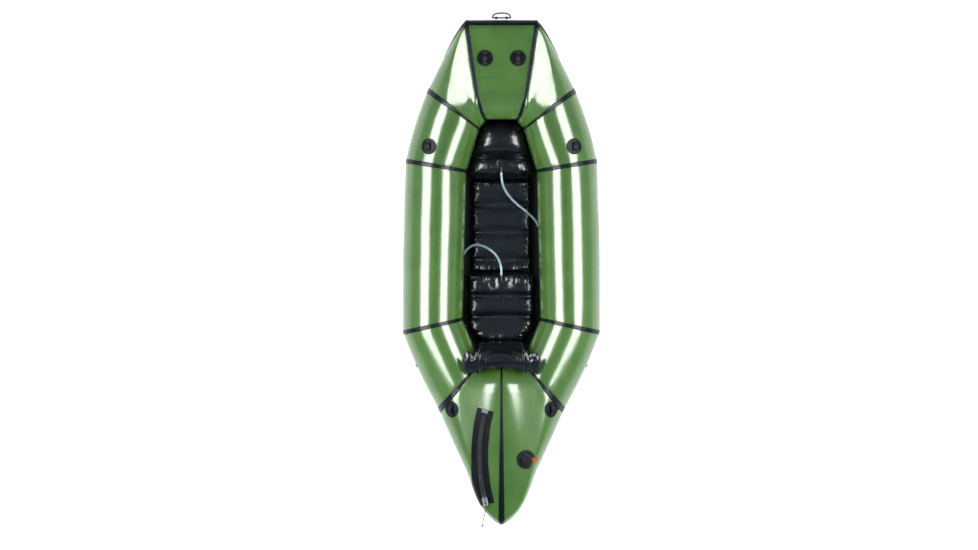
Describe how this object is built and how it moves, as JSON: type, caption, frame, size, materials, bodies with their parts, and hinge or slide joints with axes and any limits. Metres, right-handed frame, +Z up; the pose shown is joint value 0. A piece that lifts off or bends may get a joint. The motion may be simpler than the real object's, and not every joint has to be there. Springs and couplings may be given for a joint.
{
  "type": "inflatable kayak",
  "caption": "One-person inflatable packraft with upturned bow, pointed stern, cargo zip, foot brace, floor mat, seat and folding backrest",
  "frame": {"origin": "middle of the hull length, on the underside of the floor", "axes": "+Y to the bow, +X to the right when looking down with the bow away, +Z up"},
  "size_m": [0.9376, 2.4313, 0.3932],
  "materials": {
    "backrest": "glossy coated nylon cushion",
    "bow_centre_panel": "glossy TPU-coated nylon",
    "bow_grab_loop": "woven polyester",
    "bow_patches": "TPU-coated tape, satin",
    "bow_quarter_left": "glossy TPU-coated nylon",
    "bow_quarter_right": "glossy TPU-coated nylon",
    "bow_seam_tapes": "TPU-coated tape, satin",
    "bow_webbing_loops": "woven polyester",
    "brace_elbow_valve": "moulded plastic",
    "brace_hose": "clear flexible tube",
    "brace_mouthpiece": "moulded plastic",
    "brace_nozzle": "moulded plastic",
    "cap_tether": "orange moulded tether",
    "floor_bow": "heavy coated floor fabric, satin",
    "floor_main": "heavy coated floor fabric, satin",
    "floor_mat": "glossy coated nylon cushion",
    "floor_sides": "heavy coated floor fabric, satin",
    "floor_stern": "heavy coated floor fabric, satin",
    "foot_brace": "glossy coated nylon cushion",
    "front_panel_left": "glossy TPU-coated nylon",
    "front_panel_right": "glossy TPU-coated nylon",
    "front_patches": "TPU-coated tape, satin",
    "front_seam_tapes": "TPU-coated tape, satin",
    "front_webbing_loops": "woven polyester",
    "grab_loop_anchors": "moulded plastic",
    "loose_strap_end": "woven polyester",
    "plunger_spring": "plated metal",
    "pull_cord_knot": "woven polyester",
    "quarter_seam_tapes": "TPU-coated tape, satin",
    "rear_panel_left": "glossy TPU-coated nylon",
    "rear_panel_right": "glossy TPU-coated nylon",
    "rear_seam_tapes": "TPU-coated tape, satin",
    "seat_cushion": "glossy coated nylon cushion",
    "seat_elbow_valve": "moulded plastic",
    "seat_hose": "clear flexible tube",
    "seat_mouthpiece": "moulded plastic",
    "seat_nozzle": "moulded plastic",
    "side_panel_left": "glossy TPU-coated nylon",
    "side_panel_right": "glossy TPU-coated nylon",
    "side_seam_tapes": "TPU-coated tape, satin",
    "side_tabs": "woven polyester",
    "stern_panel_left": "glossy TPU-coated nylon",
    "stern_panel_right": "glossy TPU-coated nylon",
    "stern_patches": "TPU-coated tape, satin",
    "stern_seam_tape": "TPU-coated tape, satin",
    "stern_webbing_loops": "woven polyester",
    "valve_body": "moulded plastic",
    "valve_cap": "moulded plastic",
    "valve_flange": "TPU-coated tape, satin",
    "valve_plunger": "moulded plastic",
    "zip_base": "TPU-coated tape, satin",
    "zip_bed": "TPU-coated tape, satin",
    "zip_chain": "moulded plastic",
    "zip_pull_cord": "woven polyester",
    "zip_pull_ring": "plated metal",
    "zip_slider": "plated metal",
    "zip_stops": "moulded plastic"
  },
  "bodies": {
    "hull": {"bow_centre_panel": "bow_centre_panel", "bow_patches": "bow_patches", "bow_quarter_left": "bow_quarter_left", "bow_quarter_right": "bow_quarter_right", "bow_seam_tapes": "bow_seam_tapes", "bow_webbing_loops": "bow_webbing_loops", "brace_elbow_valve": "brace_elbow_valve", "brace_hose": "brace_hose", "brace_mouthpiece": "brace_mouthpiece", "cap_tether": "cap_tether", "floor_bow": "floor_bow", "floor_main": "floor_main", "floor_mat": "floor_mat", "floor_sides": "floor_sides", "floor_stern": "floor_stern", "foot_brace": "foot_brace", "front_panel_left": "front_panel_left", "front_panel_right": "front_panel_right", "front_patches": "front_patches", "front_seam_tapes": "front_seam_tapes", "front_webbing_loops": "front_webbing_loops", "grab_loop_anchors": "grab_loop_anchors", "loose_strap_end": "loose_strap_end", "quarter_seam_tapes": "quarter_seam_tapes", "rear_panel_left": "rear_panel_left", "rear_panel_right": "rear_panel_right", "rear_seam_tapes": "rear_seam_tapes", "seat_cushion": "seat_cushion", "seat_elbow_valve": "seat_elbow_valve", "seat_hose": "seat_hose", "seat_mouthpiece": "seat_mouthpiece", "side_panel_left": "side_panel_left", "side_panel_right": "side_panel_right", "side_seam_tapes": "side_seam_tapes", "side_tabs": "side_tabs", "stern_panel_left": "stern_panel_left", "stern_panel_right": "stern_panel_right", "stern_patches": "stern_patches", "stern_seam_tape": "stern_seam_tape", "stern_webbing_loops": "stern_webbing_loops", "valve_body": "valve_body", "valve_flange": "valve_flange", "zip_base": "zip_base", "zip_bed": "zip_bed", "zip_chain": "zip_chain", "zip_stops": "zip_stops"},
    "backrest": {"backrest": "backrest"},
    "cap": {"valve_cap": "valve_cap"},
    "plunger": {"valve_plunger": "valve_plunger", "plunger_spring": "plunger_spring"},
    "slider": {"zip_slider": "zip_slider"},
    "pull": {"zip_pull_ring": "zip_pull_ring", "zip_pull_cord": "zip_pull_cord", "pull_cord_knot": "pull_cord_knot"},
    "grab_loop": {"bow_grab_loop": "bow_grab_loop"},
    "brace_nozzle_body": {"brace_nozzle": "brace_nozzle"},
    "seat_nozzle_body": {"seat_nozzle": "seat_nozzle"}
  },
  "joints": [
    {"name": "backrest_fold", "type": "hinge", "parent": "hull", "child": "backrest", "pos_m": [0, -0.35692, 0.1278], "axis": [-1, 0, 0], "range_deg": [0, 60]},
    {"name": "cap_lift", "type": "slide", "parent": "hull", "child": "cap", "axis": [0.1151, -0.0472, 0.9922], "range_m": [0, 0.02]},
    {"name": "plunger_push", "type": "slide", "parent": "hull", "child": "plunger", "axis": [-0.1151, 0.0472, -0.9922], "range_m": [0, 0.005], "stiffness_N_per_m": 300, "springref_m": -0.002},
    {"name": "zip_run", "type": "hinge", "parent": "hull", "child": "slider", "pos_m": [0.77753, -0.86873, 0.35566], "axis": [0.0467, 0.057, -0.9973], "range_deg": [0, 26]},
    {"name": "pull_swing", "type": "hinge", "parent": "slider", "child": "pull", "pos_m": [-0.07923, -1.07459, 0.31732], "axis": [-0.9708, -0.2326, -0.0587], "range_deg": [0, 95]},
    {"name": "grab_loop_swing", "type": "hinge", "parent": "hull", "child": "grab_loop", "pos_m": [0, 1.2028, 0.3313], "axis": [1, 0, 0], "range_deg": [-80, 80]},
    {"name": "brace_nozzle_pull", "type": "slide", "parent": "hull", "child": "brace_nozzle_body", "axis": [0.3148, -0.9025, -0.2938], "range_m": [0, 0.004]},
    {"name": "seat_nozzle_pull", "type": "slide", "parent": "hull", "child": "seat_nozzle_body", "axis": [-0.2842, -0.9157, -0.2842], "range_m": [0, 0.004]}
  ]
}
